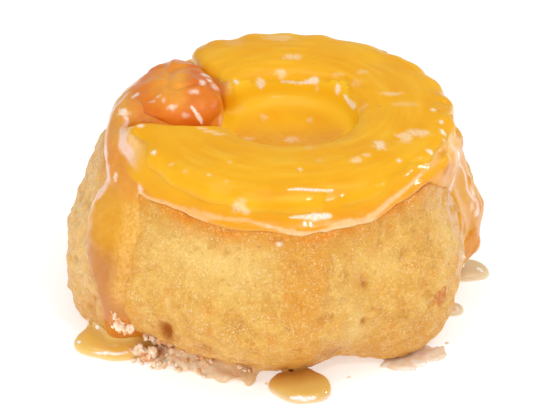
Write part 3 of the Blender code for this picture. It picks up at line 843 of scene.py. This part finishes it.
def blend(colours, share, code):
    """The colours with a share of another one."""
    return colours * (1 - share[:, None]) + linear(code) * share[:, None]


def make_glaze():
    """The film of syrup over the cake, the slice and the cherry."""
    field = np.maximum(together - film, -(together + GLAZE_DEPTH))
    obj, points = surface(np.maximum(field, 0.05 - Z), "syrup_glaze")
    at = Places(obj, points)
    near_slice = sample(slice_field, points)
    near_cherry = sample(cherry_field, points)
    right = turn_from(at.angle, 350)
    inside = ramp(HOLE_RADIUS + 3.5, HOLE_RADIUS + 2, at.from_hole)
    bead_left = 0.8 * lines_at((BEAD_LEFT,), at)
    bead_right = 0.75 * lines_at((BEAD_RIGHT,), at)
    peach = 0.6 * lines_at((PEACH_RIGHT,), at)
    folds = noise_at(np.stack([at.angle / 2.2, at.height / 9, 0 * at.height], 1), 81)
    side = bell(right, 18) * ramp(16, 22, at.height)
    drop = bell(turn_from(at.angle, 356), 9) * ramp(28, 22, at.height)

    colour = syrup_colour(at, near_slice)
    for share, code in (
        # Painted highlights and reflections: the curtain's edge, the strips on the slice's side, the lip's
        # bead and the pale strands.
        (0.85 * lines_at((HEM,), at), "F4D0C0"),
        (lines_at((STRIP_PEACH,), at), "F9C47A"),
        (0.95 * lines_at((STRIP_PINK,), at), "F8D4C2"),
        (bead_left, "F9C080"),
        (peach, "F9C890"),
        (bead_right, "FADDB0"),
        (inside, "E8A222"),
        (ramp(1.6, 0.2, near_cherry) * ramp(-1, 1.5, at.above), "E78A2E"),
        (bell(right, 22) * ramp(43, 38, at.height), "DF9A20"),
        # Painted sheen: pale folds on the sheet at the right.
        (0.3 * side * ramp(0.2, 0.7, folds), "F1BC8C"),
        (0.6 * drop, "D48608"),
        (spots_at(AMBERS, at), "D8860A"),
        (0.8 * lines_at(STRANDS, at), "F6D8D0"),
    ):
        colour = blend(colour, share, code)
    paint_colour(obj, "tint", colour)

    # The fruit shows through the film on the slice's side and round the hole.
    flesh = ramp(30, 34, at.from_hole) * ramp(4.2, 3.2, near_slice) * ramp(0.3, 1.1, at.over_lip)
    flesh = flesh * ramp(0, 14, np.abs(turn_from(at.around, 195)) - 4)
    flesh = flesh * (1 - bead_left) * (1 - bead_right) * (1 - peach)
    front = ramp(7, -1, points[:, 1]) * ramp(4, 2, at.above)
    front = front * ramp(HOLE_RADIUS - 1, HOLE_RADIUS - 5, at.from_hole)
    flesh = np.maximum(flesh, inside * (1 - 0.85 * front)) * ramp(0.1, 1.8, near_cherry)
    across, half = across_run(CURTAIN, at.angle, at.radius, at.height)
    thin = ramp(6.0, 1.0, half - across) * bell(turn_from(at.angle, 222), 14)
    paint(
        obj,
        flesh=flesh,
        shoulder=shoulder_at(at),
        # Painted light: the glaze on the hole's wall made brighter against its shade.
        wall=inside * ramp(HOLE_RADIUS - 6, HOLE_RADIUS - 1, at.from_hole) * (1 - front),
        calm=np.maximum(inside, bell(right, 30) * ramp(47, 42, at.height)),
        thin=thin * ramp(40, 37, at.height) * ramp(14, 20, at.height),
        fleck=glints_at(at),
    )
    return obj


def syrup_colour(at, near_slice):
    """The syrup's own colour: deeper in the curtain at the left, and darkest at its foot."""
    colour = np.repeat(linear("E39B36")[None], len(at.height), 0)
    colour = blend(colour, ramp(46, 43, at.height) * bell(turn_from(at.angle, 190), 30), "E39034")
    colour = blend(colour, ramp(41, 37, at.height), "E29F28")
    colour = blend(colour, ramp(32, 25, at.height) * bell(turn_from(at.angle, 220), 40), "C27620")
    colour = blend(colour, ramp(14, 11, at.height) * bell(turn_from(at.angle, 224), 22), "CA6E10")
    lip = ramp(30, 34, at.from_hole) * ramp(3.4, 1.6, near_slice) * ramp(-1.5, 0.0, at.over_lip)
    return blend(colour, lip, "EBA43C")


def shoulder_at(at):
    """How far down on the front shoulder of the slice each point is, where syrup gathers."""
    return ramp(6.5, 2.5, at.above) * ramp(33, 37, at.from_hole) * bell(turn_from(at.around, 285), 60)


def flesh_colour(look):
    """The golden yellow of the fruit, without its streaks."""
    base = look.patches(linear("F0A910"), look.noise(12, 2, 0.5), 0.4, 0.6, 1.0, "F4B21A")
    return look.painted(base, "shoulder", 0.5, "E08C14")


def glaze_look():
    look = soft_look("syrup_glaze", 0.25, 0.3, 1.6, (1.0, 0.5, 0.2), 0.2)
    tint = look.colour("tint")
    lighter = look.mix(0.4, tint, linear("F6BE58"))
    base = look.mix(look.map(look.noise(3.2, 3, 0.6), 0.4, 0.75, 0.0, 0.6), tint, lighter)
    base = look.patches(base, look.noise(1.6, 3, 0.6), 0.5, 0.3, 0.3, "D98A24")
    grain = look.patches(linear("E2A244"), look.noise(0.8, 3, 0.6), 0.35, 0.65, 1.0, "F6CA78")
    base = look.mix(look.math("MULTIPLY", look.value("thin"), 0.75), base, grain)
    # Painted light: the hole's wall brighter than the fruit, against its shade.
    flesh = look.painted(flesh_colour(look), "wall", 0.8, "FFC826")
    base = look.mix(look.value("flesh"), base, flesh)
    base = look.glinted(base, "FDEBD6")
    dull = look.math("ADD", look.value("calm"), look.value("thin"))
    look.finish(base, look.map(dull, 0, 1, 0.55, 0.1), 0.05)
    look.set("Coat Normal", look.bump(look.noise(3.4, 2), 0.4, 0.7))
    return look


def make_slice():
    """The pineapple slice with its fibres, and scallops on its rim."""
    obj, points = surface(slice_field - 0.05, "pineapple_flesh")
    at = Places(obj, points)
    above, from_hole = at.above, at.from_hole
    along = np.radians(turn_from(at.around, 0)) * MIDDLE_RADIUS
    shown = ramp(3.5, 6.5, above)
    streaks = noise_at(np.stack([from_hole / 1.5, along / 9, above / 3], 1), 41)
    fine = noise_at(np.stack([from_hole / 0.8, along / 5, above / 1.6], 1), 42)
    swells = noise_at(points / 7.0, 43)
    scallops = noise_at(np.stack([along / 3.4, 0 * along, 0 * along], 1), 44) * ramp(34, 38, from_hole)
    push(obj, points, shown * (0.05 * streaks + 0.03 * fine + 0.22 * swells + 0.45 * scallops - 0.1))
    at.normals = normals_of(obj)
    # A painted highlight along the rounded rim of the hole at the front right.
    rim = bell(from_hole - HOLE_RADIUS - 0.7, 0.45) * bell(turn_from(at.around, 320), 40)
    paint(
        obj,
        streak=0.5 + 0.35 * streaks + 0.25 * fine,
        fleck=glints_at(at),
        bead=0.7 * lines_at((BEAD_LEFT, BEAD_RIGHT), at),
        # Painted light: the hole's wall made brighter against its shade.
        wall=ramp(HOLE_RADIUS + 1.5, HOLE_RADIUS + 0.2, from_hole) * ramp(9, 6, above),
        shoulder=shoulder_at(at),
        rim=rim * ramp(8.0, 8.6, above),
    )
    return obj


def slice_look():
    look = soft_look("pineapple", 0.35, 0.4, 2.0, (1.0, 0.5, 0.12), 0.1)
    base = flesh_colour(look)
    base = look.patches(base, look.value("streak"), 0.5, 0.9, 0.42, "F8C43A")
    base = look.patches(base, look.value("streak"), 0.45, 0.1, 0.34, "EBA012")
    base = look.painted(base, "wall", 0.75, "FCC424")
    base = look.painted(base, "rim", 0.8, "FCCC84")
    # Painted highlight along the bead of the lip.
    base = look.mix(look.value("bead"), base, linear("FADDB0"))
    base = look.glinted(base, "FDEBD0")
    look.finish(base, 0.3, 0.06)
    look.set("Coat Normal", look.bump(look.noise(2.8, 2, 0.55, look.stretched(0.5, 1, 1)), 0.35, 0.8))
    return look


def make_cherry():
    """The cherry with the creases of its skin."""
    obj, points = surface(cherry_field - 0.1, "cherry_fruit")
    at = Places(obj, points)
    creases = ramp(0.1, 1.0, 1 - np.abs(noise_at(points / 6.5, 51)) * 2.4)
    small = noise_at(points / 2.0, 52)
    push(obj, points, ramp(2, 5, at.above) * (-0.65 * creases + 0.16 * small + 0.15))
    at.normals = normals_of(obj)
    paint(
        obj,
        fold=creases,
        # Painted light: the top of the cherry made lighter.
        top=ramp(9.0, 12.5, at.above) * ramp(-16, -20, points[:, 0]),
        foot=ramp(7.5, 4.5, at.above),
        fleck=glints_at(at),
    )
    return obj


def cherry_look():
    look = soft_look("cherry", 0.3, 0.35, 1.8, (1.0, 0.4, 0.12), 0.2)
    base = look.patches(linear("DC6F13"), look.noise(5, 3), 0.35, 0.65, 1.0, "E37F1A")
    # Painted shade in the creases of the skin.
    base = look.patches(base, look.value("fold"), 0.1, 0.9, 0.5, "D46C12")
    # Painted light on the top of the cherry.
    base = look.painted(base, "top", 0.9, "F2A632")
    base = look.painted(base, "foot", 0.6, "CC5E12")
    base = look.glinted(base, "FFEBDA")
    look.finish(base, 0.35, 0.08)
    look.set("Coat Normal", look.bump(look.noise(1.1, 3, 0.65), 0.45, 1.0))
    return look


def make_pool(name, reach, look):
    """A pool of syrup that creeps up to the cake within this reach."""
    field = blurred(distance(NODES[name]), 1)
    wetted = cake + 0.35 - 0.35 * ramp(-0.5, 0.5, film)
    near = smooth_min(field, wetted, reach)
    joined = np.where(field < 0.7 * reach, near, np.maximum(near, 0.5))
    # A pool creeps up the sponge to less than twice its reach.
    joined = np.maximum(joined - 0.05, np.maximum(Z - 1.9 * reach, -(cake + 2.0)))
    obj, points = surface(np.maximum(joined, 0.02 - Z), name.replace("syrup_pool", "pool"))
    paint(
        obj,
        deep=ramp(0.2, 2.0, points[:, 2]),
        root=ramp(5.5, 0.4, sample(cake, points)),
        pale=np.interp(points[:, 0], (30, 40), (0, 0.55)),
        # The left pool yellower, with painted light against the cake's shade.
        gold=ramp(-20, -30, points[:, 0]),
        fleck=lines_at(POOL_GLINTS, Places(obj, points)),
    )
    dress(obj, look, "syrup", name)


def pool_look():
    look = soft_look("syrup_pool", 0.12, 0.3, 2.0, (1.0, 0.6, 0.3), 0.2)
    base = look.mix(look.value("deep"), linear("EFD2B4"), linear("DEB660"))
    base = look.patches(base, look.noise(4, 2), 0.4, 0.65, 0.5, "E8C070")
    base = look.painted(base, "root", 0.7, "CC7C1E")
    base = look.mix(look.value("pale"), base, linear("EEE2C6"))
    base = look.painted(base, "gold", 0.5, "FCCE60")
    base = look.glinted(base, "FFFFFF")
    look.finish(base, 0.9, 0.03)
    return look


# Crumbs on the side: angle, height and size. Crumbs on the ground: x, y and size.
SIDE_CRUMBS = (
    (225, 13.2, 2.2), (225.8, 12.2, 2), (226, 10.8, 2.8), (228.3, 9.8, 2.2), (224, 13.9, 1.3),
    (225, 8.3, 1.5), (226.8, 9.2, 2.4), (227.2, 8, 1.6), (222.8, 9.8, 1.2), (223.6, 9.2, 1.4),
    (229, 4.5, 1.9), (231, 3.2, 2), (233, 3.4, 1.7), (235, 4.2, 1.4), (226, 3.8, 1.2), (238, 2.6, 1.6),
    (228, 2.2, 2), (343, 14, 1.2), (339, 17, 1), (336, 21, 1.2), (231.5, 5.5, 2.4), (233.5, 5, 2.2),
    (229.5, 5.6, 2.2), (235.5, 4.8, 1.8), (237.5, 4.4, 1.6),
)
GROUND_CRUMBS = (
    (1.2, -43.6, 0.7), (20.6, -41.2, 0.8), (-28.2, -35.9, 1.2), (-25.8, -37.4, 0.9), (-30.2, -34.9, 1.4),
    (40.5, -33.9, 0.6),
)
# A heap of crumbs where the left pool meets the cake, and loose ones along the torn foot.
HEAP_START = (-30.2, -32.6, 2.2)
HEAP_END = (-22.5, -37.2, 1.0)
HEAP_COUNT = 34
FOOT_COUNT = 36


def side_place(angle, height):
    """The place on the cake's side at this angle and height."""
    turn = math.radians(angle)
    radii = np.arange(30, 58, 0.1)
    ray = np.stack([radii * math.cos(turn), radii * math.sin(turn), np.full(len(radii), height)], 1)
    return ray[sample(cake, ray) < 0][-1]


def make_crumbs():
    """All loose crumbs as one mesh of rough lumps."""
    random = np.random.default_rng(7)
    places = [(side_place(angle, height), size) for angle, height, size in SIDE_CRUMBS]
    places += [(np.array([x, y, 0.35 * size]), size) for x, y, size in GROUND_CRUMBS]
    for _ in range(FOOT_COUNT):
        angle, height = random.uniform(226, 270), random.uniform(0.5, 4.0)
        places.append((side_place(angle, height) * (1.01, 1.01, 1), random.uniform(0.5, 1.4)))
    for _ in range(HEAP_COUNT):
        share, spread = random.uniform(0, 1), random.normal(0, 0.7, 3)
        place = np.array(HEAP_START) * (1 - share) + np.array(HEAP_END) * share + spread
        place[2] = max(place[2], 0.3)
        places.append((place, random.uniform(1.0, 2.6)))
    built = bmesh.new()
    for place, size in places:
        lump = bmesh.ops.create_icosphere(built, subdivisions=3, radius=1.0)["verts"]
        rough = np.array([v.co[:] for v in lump])
        shift = random.uniform(0, 30, 3)
        bulge = 1 + 0.5 * noise_at(rough * 1.3 + shift, 61) + 0.4 * noise_at(rough * 3.1 + shift, 62)
        stretch = random.uniform(0.6, 1.1, 3) * size / 2
        for vert, point in zip(lump, rough * bulge[:, None] * stretch + place):
            vert.co = point * MM
            vert.co.z = max(vert.co.z, 0.02 * MM)
    mesh = bpy.data.meshes.new("crumbs")
    built.to_mesh(mesh)
    built.free()
    return linked("crumbs", mesh)


def crumb_look():
    look = Look("crumbs", Roughness=0.6)
    base = look.patches(linear("FFDCB0"), look.noise(1.2, 3), 0.35, 0.65, 1.0, "FFEFD8")
    base = look.patches(base, look.noise(3.0, 2), 0.48, 0.60, 0.75, "F2A45A")
    look.finish(base, 0.3, 0.03)
    look.set("Normal", look.bump(look.noise(0.4, 3), 0.2, 0.8))
    return look


# The outline of the smear on the ground, and the spacing of its points.
SMEAR = (
    (28.6, -36.4), (32, -37.6), (36.6, -37.8), (40.1, -35.3), (44.4, -32.6), (44.6, -27.6), (39.3, -29),
    (30, -32),
)
SMEAR_STEP = 0.25


def depth_inside(corners, x, y):
    """How far inside an outline each place is, negative outside."""
    apart, within = np.full(len(x), 1e9), np.zeros(len(x), bool)
    for (ax, ay), (bx, by) in zip(corners, np.roll(corners, -1, 0)):
        dx, dy = bx - ax, by - ay
        share = np.clip(((x - ax) * dx + (y - ay) * dy) / (dx**2 + dy**2), 0, 1)
        apart = np.minimum(apart, np.hypot(x - ax - share * dx, y - ay - share * dy))
        crosses = (ay > y) != (by > y)
        within ^= crosses & (x < dx * (y - ay) / dy + ax)
    return np.where(within, apart, -apart)


def make_smear():
    """A thin smear of syrup and crumb on the ground at the front right."""
    corners = np.array(SMEAR)
    low, high = corners.min(0) - 2, corners.max(0) + 2
    xs, ys = np.arange(low[0], high[0], SMEAR_STEP), np.arange(low[1], high[1], SMEAR_STEP)
    x, y = (g.ravel() for g in np.meshgrid(xs, ys, indexing="ij"))
    flat = np.stack([x, y, np.zeros(len(x))], 1)
    inside = depth_inside(corners, x, y) + 0.9 * noise_at(flat / 2.2, 71) + 0.5 * noise_at(flat / 0.9, 72)
    thick = 0.55 * np.sqrt(np.clip(inside / 1.2, 0, 1)) * (1 + 0.3 * noise_at(flat / 1.5, 73))
    keep = (inside > 0).reshape(len(xs), len(ys))
    cells = keep[:-1, :-1] | keep[1:, :-1] | keep[:-1, 1:] | keep[1:, 1:]
    built = bmesh.new()
    top, base = {}, {}
    for i, j in zip(*np.nonzero(cells)):
        cell = ((i, j), (i + 1, j), (i + 1, j + 1), (i, j + 1))
        for spot in cell:
            if spot not in top:
                index = spot[0] * len(ys) + spot[1]
                top[spot] = built.verts.new((x[index] * MM, y[index] * MM, (0.04 + thick[index]) * MM))
                base[spot] = built.verts.new((x[index] * MM, y[index] * MM, 0.02 * MM))
        built.faces.new([top[spot] for spot in cell])
        built.faces.new([base[spot] for spot in reversed(cell)])
    below = {top[spot]: base[spot] for spot in top}
    for edge in [e for e in built.edges if e.is_boundary and e.verts[0] in below]:
        loop = edge.link_loops[0]
        a, b = loop.vert, loop.link_loop_next.vert
        built.faces.new([b, a, below[a], below[b]])
    mesh = bpy.data.meshes.new("smear")
    built.to_mesh(mesh)
    built.free()
    return linked("smear", mesh)


def smear_look():
    look = Look("smear", Roughness=0.35, Subsurface_Weight=0.2, Subsurface_Scale=0.8 * MM)
    base = look.patches(linear("F3E8DC"), look.noise(2.5, 3), 0.4, 0.6, 1.0, "F0D8B8")
    look.finish(base, 0.5, 0.03)
    look.set("Normal", look.bump(look.noise(0.8, 3), 0.2, 0.7))
    return look


make_camera()
make_floor()
make_studio()
dress(make_sponge(), sponge_look(), "sponge", "cake")
dress(make_glaze(), glaze_look(), "syrup")
dress(make_slice(), slice_look(), "pineapple", "pineapple_slice")
dress(make_cherry(), cherry_look(), "cherry", "cherry")
syrup = pool_look()
# Each pool, and how near to the cake it starts to creep up.
for pool_name, reach in (("front", 1.8), ("left", 4.0), ("right", 2.4), ("small", 2.4)):
    make_pool("syrup_pool_" + pool_name, reach, syrup)
dress(make_crumbs(), crumb_look(), "sponge")
dress(make_smear(), smear_look(), "syrup")
